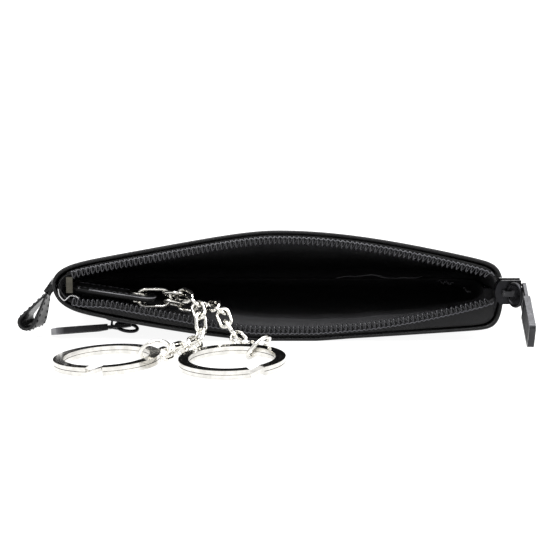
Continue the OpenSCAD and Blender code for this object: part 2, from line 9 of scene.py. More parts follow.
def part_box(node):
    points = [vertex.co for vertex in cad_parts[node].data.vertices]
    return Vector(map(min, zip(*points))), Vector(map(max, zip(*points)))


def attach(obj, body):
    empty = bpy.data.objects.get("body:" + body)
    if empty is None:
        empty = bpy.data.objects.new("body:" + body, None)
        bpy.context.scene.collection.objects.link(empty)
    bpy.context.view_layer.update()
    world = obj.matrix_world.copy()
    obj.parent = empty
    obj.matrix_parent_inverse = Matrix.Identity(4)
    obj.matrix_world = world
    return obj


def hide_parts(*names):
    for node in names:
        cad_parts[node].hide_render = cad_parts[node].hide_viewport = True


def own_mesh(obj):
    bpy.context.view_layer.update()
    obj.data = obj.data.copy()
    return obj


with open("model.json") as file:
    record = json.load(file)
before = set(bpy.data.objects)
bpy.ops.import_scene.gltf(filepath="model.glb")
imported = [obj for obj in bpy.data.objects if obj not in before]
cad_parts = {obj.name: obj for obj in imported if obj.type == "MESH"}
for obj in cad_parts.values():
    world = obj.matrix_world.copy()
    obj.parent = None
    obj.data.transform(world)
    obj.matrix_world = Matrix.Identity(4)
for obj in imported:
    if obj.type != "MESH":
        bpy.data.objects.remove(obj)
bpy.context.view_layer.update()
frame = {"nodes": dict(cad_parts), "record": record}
MM = 0.001

# Sizes in millimetres, as in the solids; the leather's ends and the rows follow the photograph more closely
END_PUFF = 1.0
HALF_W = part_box("upper_panel")[1][0] / MM + END_PUFF
CASE_D = 72.0
MOUTH_H = 28.2
LEFT_SEAM = 14.5
RIGHT_SEAM = 12.8
CLOSED_T = 8.4
CORNER_R = 12.0
LEATHER_T = 1.0
HEM_T = 0.8
HEM_W = 6.0
LINING_T = 0.5
TAPE_T = 0.5
TAPE_Y = 0.4
LOW_TAPE_W = 0.5
LEFT_TAPE_W = 0.9
TOP_TAPE_W = 0.1
COIL_PITCH = 1.2
COIL_W = 2.2
COIL_T = 1.3
COIL_WIRE = 0.5
SHOWN_WIRE = 0.38
SLIDER_T = 0.9
SLIDER_W = 6.0
SOFT_GAP = 0.3
RUN_GAP = 0.1
ROW_GAP = 0.9
TAPE_OFF = HEM_T + 1.6 * SOFT_GAP
ARC_R = 290.0
ARC_X = 8.0
ARC_FROM = -46.0
ARC_TO = 42.0
POCKET_Y = 12.0
WINDOW_W = SLIDER_W + 2 * SOFT_GAP
POCKET_TAPE_OFF = LEATHER_T + 6 * RUN_GAP
POCKET_ROOM = POCKET_TAPE_OFF + TAPE_T + SLIDER_T + 5 * RUN_GAP
BAG_ROOM = POCKET_TAPE_OFF + TAPE_T + SOFT_GAP


# Camera: it looks at the mouth from 600 mm away, where a millimetre is 4 pixels of the 560
CAM_FAR = 0.6
CAM_ELEV = math.radians(9.7)
CAM_AIM = (0.5, 0, 15.6)
CAM_NEAR, CAM_REACH = 0.01, 10
SENSOR = 36
PX_PER_MM = 4
FRAME_PX = 560


def make_camera():
    cam = bpy.data.objects.new("camera", bpy.data.cameras.new("camera"))
    bpy.context.scene.collection.objects.link(cam)
    bpy.context.scene.camera = cam
    cam.data.sensor_width = SENSOR
    cam.data.lens = SENSOR * PX_PER_MM * CAM_FAR / MM / FRAME_PX
    cam.data.clip_start, cam.data.clip_end = CAM_NEAR, CAM_REACH
    back = Vector((0, -math.cos(CAM_ELEV), math.sin(CAM_ELEV)))
    cam.location = Vector(CAM_AIM) * MM + back * CAM_FAR
    cam.rotation_mode = "QUATERNION"
    cam.rotation_quaternion = (-back).to_track_quat("-Z", "Y")


make_camera()


# The form of the case, as functions of t across it and s from mouth to closed edge
def ease(a, b, x):
    """0 up to a, 1 from b, and smooth between them."""
    f = max(0.0, min(1.0, (x - a) / (b - a)))
    return f * f * (3 - 2 * f)


def mix(a, b, f):
    return a + (b - a) * f


# Pairs are for the left and the right half
TOP_FALL, TOP_BEND = (0.81, 1.0), (0.2, 0.6)
LOW_FALL, LOW_BEND = (0.81, 0.33), (0.35, 0.3)
END_ROUND = (20, 40)
# From this s on the closed edge is rounded
EDGE_ROUND = 0.93
# Runs of s over which a depth changes; STRIP_ and OVER_ count in POCKET_S and HEM_STEP in HEM_S
POCKET_S = POCKET_Y / CASE_D
STRIP_IN, STRIP_OUT = (0.15, 0.6), (1.4, 2.3)
OVER_IN, OVER_OUT = (0.6, 0.74), (1.3, 1.6)
BAG_IN = (1.8 * POCKET_S, 0.6)
HEM_S = HEM_W / CASE_D
HEM_STEP = (0.74, 1.1)
ZIP_END_RUN = 4.5
BACK_BEND = 1.5
# An underside lower than GROUND_GAP lies on the ground, and from there it rises GROUND_PULL as steeply
GROUND_PULL, GROUND_GAP = 1.5, 0.2
# From CLOSE_FROM to the right end the rows lose this share of their distance from the seam
CLOSE_FROM = 0.3
CLOSE_TOP, CLOSE_LOW = 0.08, 0.68


def seam_z(t, s=0.0):
    """Height of the plane where the two halves meet."""
    return mix(mix(LEFT_SEAM, RIGHT_SEAM, (t + 1) / 2), CLOSED_T / 2, s)


def end_fall(t):
    """1 over most of the width, falling to 0 at the rounded left and right ends."""
    return math.sqrt(max(0, 1 - min(1, abs(t)) ** END_ROUND[t >= 0]))


def edge_fall(s):
    """The same towards the closed edge."""
    return 1.0 if s <= EDGE_ROUND else math.sqrt(max(0, 1 - ((s - EDGE_ROUND) / (1 - EDGE_ROUND)) ** 2))


def fall(t, amount, bend):
    """How far the mouth's edge has come down at t from its height in the middle."""
    b = bend[t >= 0]
    return amount[t >= 0] * (math.sqrt(t * t + b * b) - b)


def arc_z(x):
    """Height of the underside's curve along the pocket zip."""
    return ARC_R - math.sqrt(ARC_R**2 - (x - ARC_X) ** 2)


def arc_share(s):
    """1 on the pocket zip's strip, 0 away from it."""
    begins, ends = [[f * POCKET_S for f in pair] for pair in (STRIP_IN, STRIP_OUT)]
    return ease(*begins, s) * (1 - ease(*ends, s))


def flat_drop(t, s):
    """How far the lower half lies below the seam: it rests flat on the ground in the middle."""
    own = (seam_z(t) * fall(t, LOW_FALL, LOW_BEND)) * (1 - s) ** BACK_BEND
    z = mix(own, arc_z(t * HALF_W), arc_share(s))
    return seam_z(t, s) - min(z, GROUND_PULL * max(0, z - GROUND_GAP))


def rise(t, s, up):
    """How far a half stands away from the seam."""
    if up < 0:
        return flat_drop(t, s)
    return mix((MOUTH_H - seam_z(t)) * (1 - fall(t, TOP_FALL, TOP_BEND)), CLOSED_T / 2, s)


def plan_half(s):
    """Half the width at s; the two far corners are round."""
    y, turn = s * CASE_D, CASE_D - CORNER_R
    if y <= turn:
        return HALF_W
    return HALF_W - CORNER_R + math.sqrt(max(0, CORNER_R**2 - (y - turn) ** 2))


def skin_pt(t, s, up, off):
    """A point of a half, off inside its outer form."""
    z = seam_z(t, s) + up * max(0, rise(t, s, up) - off) * end_fall(t) * edge_fall(s)
    return (t * (plan_half(s) - off), s * (CASE_D - off), z)


def over_zip(t):
    """1 over the pocket zip's length, 0 past its ends."""
    return 1 - ease(-ARC_FROM + SOFT_GAP, -ARC_FROM + ZIP_END_RUN, abs(t) * HALF_W)


def leather_off(s):
    """The leather's thickness: the turned hem at the mouth, then the panel."""
    return mix(HEM_T, LEATHER_T, ease(HEM_STEP[0] * HEM_S, HEM_STEP[1] * HEM_S, s))


def bag_off(s):
    """Depth of the pocket's bag under the lower panel."""
    return mix(BAG_ROOM, LEATHER_T + SOFT_GAP, ease(*BAG_IN, s))


def low_lining_off(s, t):
    """Depth of the lower lining: it passes over the pocket zip, its slider and the bag."""
    begins, ends = [[f * POCKET_S for f in pair] for pair in (OVER_IN, OVER_OUT)]
    deep = mix(POCKET_ROOM, bag_off(s) + LINING_T + SOFT_GAP, ease(*ends, s))
    share = mix(over_zip(t), 1, ease(POCKET_S, ends[0], s)) * ease(*begins, s)
    return mix(leather_off(s) + SOFT_GAP, deep, share)


def closing(t, up):
    """Towards the slider the rows leave the rim and run together."""
    return 1 - (CLOSE_TOP if up > 0 else CLOSE_LOW) * max(0, (t - CLOSE_FROM) / (1 - CLOSE_FROM)) ** 2


def rim_z(t, up, off):
    """Height of a row's edge, off below the rim."""
    return seam_z(t) + up * max(ROW_GAP, (rise(t, 0, up) - off) * end_fall(t) * closing(t, up))


def wobble(x, y, scale, seed=0.0):
    """Slow, repeatable unevenness, from -1 to 1."""
    return noise.noise(Vector((x / scale, y / scale, seed)))


# Mesh helpers; points are in millimetres, but this distance is in metres
SAME_PT = 1e-7
SHARP = math.radians(40)


def add_piece(name, verts, faces, mat, body="case", old=()):
    me = bpy.data.meshes.new(name)
    me.from_pydata([[c * MM for c in v] for v in verts], [], faces)
    me.materials.append(MAT[mat])
    ob = bpy.data.objects.new(name, me)
    bpy.context.scene.collection.objects.link(ob)
    bm = bmesh.new()
    bm.from_mesh(me)
    bmesh.ops.remove_doubles(bm, verts=bm.verts, dist=SAME_PT)
    bmesh.ops.dissolve_degenerate(bm, edges=bm.edges, dist=SAME_PT)
    bmesh.ops.recalc_face_normals(bm, faces=bm.faces)
    bm.to_mesh(me)
    bm.free()
    for p in me.polygons:
        p.use_smooth = True
    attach(ob, body)
    if old:
        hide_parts(*old)
    return ob


def sweep_grid(rows, caps=True):
    """Faces between equal rings of points, one ring a row."""
    verts = [p for r in rows for p in r]
    n = len(rows[0])
    faces = []
    for i in range(len(rows) - 1):
        for k in range(n):
            a, b = i * n + k, i * n + (k + 1) % n
            faces.append((a, b, b + n, a + n))
    if caps:
        for base in (0, (len(rows) - 1) * n):
            for k in range(1, n // 2):
                faces.append((base + k - 1, base + k, base + n - 1 - k, base + (n - k) % n))
            if n % 2:
                m = n // 2
                faces.append((base + m - 1, base + m, base + m + 1))
    return verts, faces


def tube(path, radius, sides=8):
    """Rings of points round a path, turned as little as the path allows."""
    p = np.asarray(path, float)
    d = np.roll(p, -1, 0) - np.roll(p, 1, 0)
    d[0], d[-1] = p[1] - p[0], p[-1] - p[-2]
    d /= np.linalg.norm(d, axis=1)[:, None]
    u = np.cross(d[0], (0.3, 0.2, 1.0))
    u /= np.linalg.norm(u)
    rows = []
    r = np.broadcast_to(radius, (len(p),))
    for i in range(len(p)):
        u = u - d[i] * np.dot(u, d[i])
        u /= np.linalg.norm(u)
        v = np.cross(d[i], u)
        turns = [2 * math.pi * k / sides for k in range(sides)]
        rows.append([p[i] + r[i] * (math.cos(a) * u + math.sin(a) * v) for a in turns])
    return sweep_grid([[tuple(q) for q in row] for row in rows])


def join(parts):
    """Several meshes as one."""
    verts, faces = [], []
    for v, f in parts:
        n = len(verts)
        verts += v
        faces += [tuple(n + i for i in q) for q in f]
    return verts, faces


def cut(ob, low, high):
    """A box taken out of a piece."""
    bpy.ops.mesh.primitive_cube_add(size=1)
    box = bpy.context.object
    box.location = [(a + b) / 2 * MM for a, b in zip(low, high)]
    box.scale = [(b - a) * MM for a, b in zip(low, high)]
    mod = ob.modifiers.new("cut", "BOOLEAN")
    mod.operation, mod.object, mod.solver = "DIFFERENCE", box, "EXACT"
    dg = bpy.context.evaluated_depsgraph_get()
    me = bpy.data.meshes.new_from_object(ob.evaluated_get(dg))
    ob.modifiers.clear()
    ob.data = me
    for p in me.polygons:
        p.use_smooth = True
    me.set_sharp_from_angle(angle=SHARP)
    bpy.data.objects.remove(box)


# Materials
def new_mat(name):
    m = bpy.data.materials.new(name)
    m.use_nodes = True
    nt = m.node_tree
    return m, nt, nt.nodes["Principled BSDF"]


def node(nt, kind, **props):
    n = nt.nodes.new(kind)
    for k, v in props.items():
        setattr(n, k, v)
    return n


def coords(nt):
    """Object coordinates in millimetres."""
    tc = node(nt, "ShaderNodeTexCoord")
    mp = node(nt, "ShaderNodeMapping")
    mp.inputs["Scale"].default_value = (1 / MM, 1 / MM, 1 / MM)
    nt.links.new(tc.outputs["Object"], mp.inputs["Vector"])
    return mp.outputs["Vector"]


def ramp(nt, source, stops):
    r = node(nt, "ShaderNodeValToRGB")
    e = r.color_ramp.elements
    while len(e) < len(stops):
        e.new(0.5)
    for el, (p, c) in zip(e, stops):
        el.position = p
        el.color = (*c, 1)
    nt.links.new(source, r.inputs["Fac"])
    return r.outputs["Color"]


def noise_tex(nt, vec, scale, detail=4):
    n = node(nt, "ShaderNodeTexNoise")
    n.inputs["Scale"].default_value = scale
    n.inputs["Detail"].default_value = detail
    nt.links.new(vec, n.inputs["Vector"])
    return n.outputs["Fac"]


def add_bump(nt, b, height, strength, dist):
    bp = node(nt, "ShaderNodeBump")
    bp.inputs["Strength"].default_value = strength
    bp.inputs["Distance"].default_value = dist * MM
    nt.links.new(height, bp.inputs["Height"])
    nt.links.new(bp.outputs["Normal"], b.inputs["Normal"])


def mix_float(nt, fac, a, b):
    m = node(nt, "ShaderNodeMix", data_type="FLOAT")
    m.inputs["Factor"].default_value = fac
    nt.links.new(a, m.inputs[2])
    nt.links.new(b, m.inputs[3])
    return m.outputs[0]


def grey(v):
    return (v, v, v * 1.06)


def even(v):
    """A number as the colour that carries it."""
    return (v, v, v)


def leather_mat(name, base, rough, grain, bump, spec):
    """Black leather: pits of the size grain, and a slow change of tone and gloss."""
    m, nt, b = new_mat(name)
    v = coords(nt)
    vor = node(nt, "ShaderNodeTexVoronoi", feature="DISTANCE_TO_EDGE")
    vor.inputs["Scale"].default_value = 1 / grain
    nt.links.new(v, vor.inputs["Vector"])
    pits = ramp(nt, vor.outputs["Distance"], [(0.0, even(0)), (0.22, even(1))])
    big = noise_tex(nt, v, 0.12)
    add_bump(nt, b, mix_float(nt, 0.45, pits, noise_tex(nt, v, 3.2, 5)), bump, 0.12)
    nt.links.new(ramp(nt, big, [(0.3, grey(base * 0.7)), (0.7, grey(base * 1.5))]), b.inputs["Base Color"])
    gloss = ramp(nt, big, [(0.3, even(rough * 0.85)), (0.7, even(rough * 1.2))])
    nt.links.new(gloss, b.inputs["Roughness"])
    b.inputs["Specular IOR Level"].default_value = spec
    return m


def metal_mat(name, base, rough, scratch=0.04, metallic=1.0):
    """Plated metal with fine scratches; with metallic 0, plastic or thread."""
    m, nt, b = new_mat(name)
    v = coords(nt)
    fine = noise_tex(nt, v, 1.4, 6)
    gloss = ramp(nt, fine, [(0.3, even(rough * 0.7)), (0.75, even(rough * 1.5))])
    nt.links.new(gloss, b.inputs["Roughness"])
    add_bump(nt, b, fine, scratch, 0.05)
    wear = noise_tex(nt, v, 0.5, 3)
    stops = [(0.35, tuple(c * 0.85 for c in base)), (0.7, tuple(min(1, c * 1.1) for c in base))]
    nt.links.new(ramp(nt, wear, stops), b.inputs["Base Color"])
    b.inputs["Metallic"].default_value = metallic
    return m


def weave_mat(name, dark, light, size, rough=0.75):
    """A twill: two crossed waves with noise."""
    m, nt, b = new_mat(name)
    v = coords(nt)
    waves = []
    for turn in (0.75, -0.85):
        mp = node(nt, "ShaderNodeMapping")
        mp.inputs["Rotation"].default_value = (0, turn, turn)
        nt.links.new(v, mp.inputs["Vector"])
        w = node(nt, "ShaderNodeTexWave")
        w.inputs["Scale"].default_value = 1 / size
        w.inputs["Distortion"].default_value = 1.5
        w.inputs["Detail Scale"].default_value = 2
        nt.links.new(mp.outputs["Vector"], w.inputs["Vector"])
        waves.append(w.outputs["Fac"])
    cross = mix_float(nt, 0.5, waves[0], waves[1])
    height = mix_float(nt, 0.35, cross, noise_tex(nt, v, 2.5, 5))
    add_bump(nt, b, height, 0.6, 0.18)
    nt.links.new(ramp(nt, height, [(0.3, grey(dark)), (0.65, grey(light))]), b.inputs["Base Color"])
    b.inputs["Roughness"].default_value = rough
    b.inputs["Specular IOR Level"].default_value = 0.25
    return m


def lining_mat(name):
    """Black coated lining with a soft shine; where the vertex attribute is set, the base colour is lightened
    as a painted highlight on the folds.
    """
    m, nt, b = new_mat(name)
    v = coords(nt)
    add_bump(nt, b, mix_float(nt, 0.5, noise_tex(nt, v, 0.25), noise_tex(nt, v, 2.0)), 0.3, 0.2)
    # Painted highlight: the attribute lightens the base colour from 0.03 to 0.3 on the folds
    at = node(nt, "ShaderNodeAttribute", attribute_name="painted_highlight")
    nt.links.new(ramp(nt, at.outputs["Fac"], [(0.1, grey(0.03)), (0.9, grey(0.3))]), b.inputs["Base Color"])
    b.inputs["Roughness"].default_value = 0.5
    b.inputs["Specular IOR Level"].default_value = 0.22
    return m


def plate_mat(name):
    """The pocket's puller plate is dark, and lighter grey towards its free end."""
    m, nt, b = new_mat(name)
    tc = node(nt, "ShaderNodeTexCoord")
    sep = node(nt, "ShaderNodeSeparateXYZ")
    nt.links.new(tc.outputs["Generated"], sep.inputs[0])
    nt.links.new(ramp(nt, sep.outputs["X"], [(0.1, grey(0.16)), (0.19, grey(0.026))]), b.inputs["Base Color"])
    b.inputs["Metallic"].default_value = 1.0
    b.inputs["Roughness"].default_value = 0.4
    return m


MAT = {
    "leather": leather_mat("leather", 0.006, 0.46, 0.9, 0.6, 0.2),
    "strap_leather": leather_mat("strap_leather", 0.008, 0.42, 1.1, 0.12, 0.16),
    "loop_leather": leather_mat("loop_leather", 0.004, 0.26, 1.1, 0.12, 0.22),
    # The strap's edge paint is light grey, a painted highlight standing for its lit edges
    "strap_edge": leather_mat("strap_edge", 0.16, 0.4, 2.0, 0.1, 0.4),
    "loop_edge": leather_mat("loop_edge", 0.008, 0.4, 2.0, 0.1, 0.25),
    "lining": lining_mat("lining"),
    "coil": metal_mat("coil", (0.017, 0.017, 0.02), 0.22, 0.02, 0.0),
    "thread": metal_mat("thread", (0.04, 0.04, 0.046), 0.6, 0.2, 0.0),
    "tape": weave_mat("tape", 0.002, 0.016, 0.55),
    "bag": weave_mat("bag", 0.006, 0.02, 1.1),
    "dark_metal": metal_mat("dark_metal", (0.02, 0.02, 0.022), 0.32),
    "grey_metal": metal_mat("grey_metal", (0.045, 0.045, 0.048), 0.36),
    "insert": weave_mat("insert", 0.005, 0.03, 0.9, 0.5),
    "stop_metal": metal_mat("stop_metal", (0.07, 0.066, 0.055), 0.3),
    "bright_steel": metal_mat("bright_steel", (0.8, 0.785, 0.74), 0.07, 0.02),
    "ring_steel": metal_mat("ring_steel", (0.7, 0.685, 0.65), 0.09, 0.02),
    "pocket_plate": plate_mat("pocket_plate"),
    # Pale grey: a painted highlight on the tape's cut edge
    "tape_edge": metal_mat("tape_edge", (0.42, 0.42, 0.42), 0.5, 0.1, 0.0),
}

slot_of = {s["node"]: s["material_slot"] for s in frame["record"]["subparts"]}
for name, ob in frame["nodes"].items():
    for s in ob.material_slots:
        s.material = MAT[slot_of[name]]
    if not ob.material_slots:
        ob.data.materials.append(MAT[slot_of[name]])
OTHER_LOOK = {"key_ring_a": "ring_steel", "key_ring_b": "ring_steel", "pocket_puller": "pocket_plate"}
for name, look in OTHER_LOOK.items():
    for s in frame["nodes"][name].material_slots:
        s.material = MAT[look]

# The metal pieces' edges are broken, as cast and stamped ones are
BEVELS = {"key_ring_a": 0.3, "key_ring_b": 0.3, "main_puller": 0.2, "pocket_puller": 0.2, "main_slider": 0.25,
          "pocket_slider": 0.25, "main_crown": 0.2, "pocket_crown": 0.2, "top_stops": 0.25}
for name, width in BEVELS.items():
    mod = frame["nodes"][name].modifiers.new("edge", "BEVEL")
    mod.width = width * MM
    mod.segments = 3
    mod.limit_method = "ANGLE"
    mod.angle_limit = SHARP
    mod.harden_normals = True

# Steps of a skin across the case and from its mouth to its closed edge, closer near the ends
# CALM_ are the runs at the mouth, the closed edge and the ends over which the unevenness dies away
ACROSS = 180
TS = [-math.cos(math.pi * i / ACROSS) for i in range(ACROSS + 1)]
ROWS = 56
CALM_MOUTH, CALM_BACK, CALM_ENDS = (0, 0.08), (0.88, 0.97), (0.93, 0.99)
BIG_DENT, SMALL_DENT = 16, 6


def skin_piece(name, up, out_fn, in_fn, mat, old, s0=0.0, round_n=6, rough=0.0, seed=0.0):
    """A closed skin between two depths, rounded at the mouth and slightly uneven on the side that shows."""
    rings = []
    for t in TS:
        ss = [s0 + (1 - s0) * (1 - math.cos(math.pi * k / ROWS)) / 2 for k in range(ROWS + 1)]
        outer, inner = [], []
        thick = in_fn(s0, t) - out_fn(s0, t)
        for s in ss:
            s_in = max(s, s0 + thick / 2 / CASE_D)
            calm = ease(*CALM_MOUTH, s - s0) * (1 - ease(*CALM_BACK, s)) * (1 - ease(*CALM_ENDS, abs(t)))
            x, y = t * HALF_W, s * CASE_D
            dents = 0.5 + wobble(x, y, BIG_DENT, seed) + 0.4 * wobble(x, y, SMALL_DENT, seed + 3)
            w = max(0, rough * calm * dents)
            shown_out = mat == "leather"
            outer.append(skin_pt(t, s_in, up, out_fn(s_in, t) + w * shown_out))
            inner.append(skin_pt(t, s_in, up, in_fn(s_in, t) + w * (not shown_out)))
        a, b = np.array(outer[0]), np.array(inner[0])
        mid, half = (a + b) / 2, (a - b) / 2
        lead = np.array((0, -thick / 2, 0))
        edge = []
        for k in range(1, round_n):
            f = math.pi * k / round_n
            edge.append(tuple(mid + half * math.cos(f) + lead * math.sin(f)))
        rings.append(outer[::-1] + edge + inner)
    verts, faces = sweep_grid(rings)
    return add_piece(name, verts, faces, mat, "case", old)


# Sets how much a piece's base colour is lightened as a painted highlight
def set_painted_highlight(ob, value):
    at = ob.data.attributes.new("painted_highlight", "FLOAT", "POINT")
    for point in at.data:
        point.value = value


END_CUT_H, END_CUT_Y = 3.4, (-1, 9)
WINDOW_CUT_Z = (-3, 9)
OVERRUN = 2
UPPER_ROUGH, LOWER_ROUGH = 0.35, 0.2


def make_leather():
    """Both panels, with the notch where the zip runs out and the pocket's window."""
    top = skin_piece("upper_leather", 1, lambda s, t: 0, lambda s, t: leather_off(s), "leather",
                     ["upper_panel"], rough=UPPER_ROUGH, seed=1)
    low = skin_piece("lower_leather", -1, lambda s, t: 0, lambda s, t: leather_off(s), "leather",
                     ["lower_panel"], rough=LOWER_ROUGH, seed=2)
    for ob in (top, low):
        cut(ob, (HALF_W - HEM_T - OVERRUN, END_CUT_Y[0], RIGHT_SEAM - END_CUT_H),
            (HALF_W + OVERRUN, END_CUT_Y[1], RIGHT_SEAM + END_CUT_H))
    cut(low, (ARC_FROM, POCKET_Y - WINDOW_W / 2, WINDOW_CUT_Z[0]),
        (ARC_TO, POCKET_Y + WINDOW_W / 2, WINDOW_CUT_Z[1]))
    return top, low


def make_lining_folds():
    """Puckers of the lining at its bottom seam and at the right side; each has a painted highlight, a lighter
    base colour.
    """
    sin = math.sin
    folds = [
        [(x, 69.6, 4.6 + 0.45 * sin(x / 3.1) + 0.2 * sin(x / 1.3)) for x in np.arange(16, 41, 0.5)],
        [(44 + 0.3 * k, 60 - 1.0 * k, 4.9 + 0.12 * k + 0.3 * sin(k * 1.3)) for k in np.arange(0, 12, 0.25)],
        [(49.5 + 0.12 * k, 40 - 1.2 * k, 6.6 + 0.06 * k + 0.25 * sin(k)) for k in np.arange(0, 9, 0.25)],
    ]
    parts = []
    for path in folds:
        n = len(path)
        radius = [0.06 + 0.16 * math.sin(math.pi * (i + 0.5) / n) ** 0.5 for i in range(n)]
        parts.append(tube(path, radius, 8))
    ob = add_piece("lining_folds", *join(parts), "lining", "case")
    # Painted highlight: the puckers' base colour is lightened
    set_painted_highlight(ob, 0.7)


def make_linings():
    """Both linings and the pocket's bag."""
    s0 = (TAPE_Y + TAPE_T + SLIDER_T + 2 * SOFT_GAP) / CASE_D
    up0 = HEM_T + TAPE_T
    top = skin_piece("upper_lining_cloth", 1, lambda s, t: up0, lambda s, t: up0 + LINING_T, "lining",
                     ["upper_lining"], s0, 4, 0.5, 5)
    low = skin_piece("lower_lining_cloth", -1, lambda s, t: low_lining_off(s, t),
                     lambda s, t: low_lining_off(s, t) + LINING_T, "lining", ["lower_lining"], s0, 4, 0.4, 7)
    for ob in (top, low):
        set_painted_highlight(ob, 0.0)
    bag = skin_piece("pocket_bag_cloth", -1, lambda s, t: bag_off(s), lambda s, t: bag_off(s) + LINING_T,
                     "bag", ["pocket_bag"], (POCKET_Y + SLIDER_W / 2 + 3 * SOFT_GAP) / CASE_D, 4, 0.0, 9)
    return top, low, bag


# Zip tapes, coils and the thread that holds them
ROW_FROM, ROW_TO = -0.93, 0.97
TAPE_FROM, TAPE_TO, TAPE_PARTS = 3, 30, 32
TAPE_STEPS = 240
RIB_H, RIB_TURN = 0.05, 22
WAVE_H, WAVE_TURN, WAVE_LEAN = 0.06, 40, 3
FACE_IN = 0.02
# A turn of wire: how square it is, the share of it from which it steps to the next one, and its head's kink
SQUARE_H, SQUARE_D = 0.75, 0.7
STEP_FROM = 0.42
KINK, KINK_W = 0.13, 0.1
# The thread over the rows' heels
THREAD_R = 0.13
SEW_IN, SEW_H = 0.32, 0.16
SEW_OUT, SEW_D = 0.06, 0.1


def coil_off(up, t):
    """The rows' depth below the rim; more of the lower tape shows on the left, but none at its very end."""
    low = LOW_TAPE_W + LEFT_TAPE_W * ease(0, 0.6, -t) * (1 - 2 * ease(0.75, ROW_TO, -t))
    return TAPE_OFF + (TOP_TAPE_W if up > 0 else low)


def row_x(t):
    return t * (HALF_W - TAPE_OFF)


def row_mid(t, up):
    """Height of the middle of a row of coil."""
    own = abs(rim_z(t, up, coil_off(up, t) + COIL_W / 2) - seam_z(t))
    return seam_z(t) + up * max(COIL_W / 2 + RUN_GAP, own)


def tape_piece(name, up, old):
    """One zip tape, from the hem to the middle of its row."""
    t0, t1 = [-math.cos(math.pi * k / TAPE_PARTS) for k in (TAPE_FROM, TAPE_TO)]
    n = 9
    rings = []
    for i in range(TAPE_STEPS + 1):
        t = mix(t0, t1, i / TAPE_STEPS)
        z0 = seam_z(t) + up * max(1.5 * ROW_GAP, (rise(t, 0, up) - TAPE_OFF) * end_fall(t))
        z1 = rim_z(t, up, coil_off(up, t) + COIL_W / 2)
        ring = []
        for front in (True, False):
            for k in range(n):
                f = k / (n - 1) if front else 1 - k / (n - 1)
                y = TAPE_Y + FACE_IN + RIB_H * math.sin(f * RIB_TURN) if front else TAPE_Y + TAPE_T
                wave = WAVE_H * math.sin(t * WAVE_TURN + f * WAVE_LEAN)
                ring.append((row_x(t), y + wave, mix(z0, z1, f)))
        rings.append(ring)
    verts, faces = sweep_grid(rings)
    return add_piece(name, verts, faces, "tape", "case", old)


def coil_path(mids, up, pitch_pts=20):
    """One wound wire: front leg, head, back leg and heel of each turn."""
    path = []
    h, d = (COIL_W - SHOWN_WIRE) / 2, (COIL_T - SHOWN_WIRE) / 2
    for i in range(len(mids) - 1):
        a, b = np.array(mids[i]), np.array(mids[i + 1])
        run = (b - a) / np.linalg.norm(b - a)
        tall = np.array((run[2], 0, -run[0])) * up
        if i == len(mids) - 2:
            pitch_pts += 1
        for k in range(pitch_pts):
            f = k / (pitch_pts if i < len(mids) - 2 else pitch_pts - 1)
            c, s = math.cos(2 * math.pi * f), math.sin(2 * math.pi * f)
            high = -h * math.copysign(abs(c) ** SQUARE_H, c)
            deep = -d * math.copysign(abs(s) ** SQUARE_D, s)
            go = ease(STEP_FROM, 1, f) + KINK * math.exp(-(((f - 0.5) / KINK_W) ** 2))
            path.append(a + (b - a) * go + tall * high + np.array((0, deep, 0)))
    return path


def main_coil(name, up, old):
    """One row of the main zip, and the thread that sews it to its tape."""
    span = (ROW_TO - ROW_FROM) * (HALF_W - TAPE_OFF)
    n = int(span / COIL_PITCH)
    ts = [ROW_FROM + i * COIL_PITCH / (HALF_W - TAPE_OFF) for i in range(n + 1)]
    mids = [(row_x(t), TAPE_Y - COIL_T / 2, row_mid(t, up)) for t in ts]
    coil = add_piece(name, *tube(coil_path(mids, up), SHOWN_WIRE / 2), "coil", "case", old)
    # Sewing thread over the heels
    path = []
    steps = 6
    for i in range(len(mids) * steps):
        j = min(i // steps, len(mids) - 2)
        f = i / steps - j
        a, b = np.array(mids[j]), np.array(mids[j + 1])
        p = a + (b - a) * f
        wave = math.sin(2 * math.pi * i / steps)
        root = up * (COIL_W / 2 - SEW_IN + SEW_H * wave)
        path.append(p + np.array((0, -COIL_T / 2 - SEW_OUT + SEW_D * wave, root)))
    thread = add_piece(name + "_thread", *tube(path, THREAD_R, 6), "thread", "case")
    return coil, thread


def arc_pt(x, off, dy):
    """A point of the pocket zip: x along it, off above the outer form, dy across."""
    a = math.asin((x - ARC_X) / ARC_R)
    r = ARC_R - off
    return (ARC_X + r * math.sin(a), POCKET_Y + dy, ARC_R - r * math.cos(a))


# How far the pocket's tape reaches past its window, and each row's heads from the tape's middle
TAPE_SIDE, TAPE_END = 0.6, 1.5
HEAD_GAP = 0.35


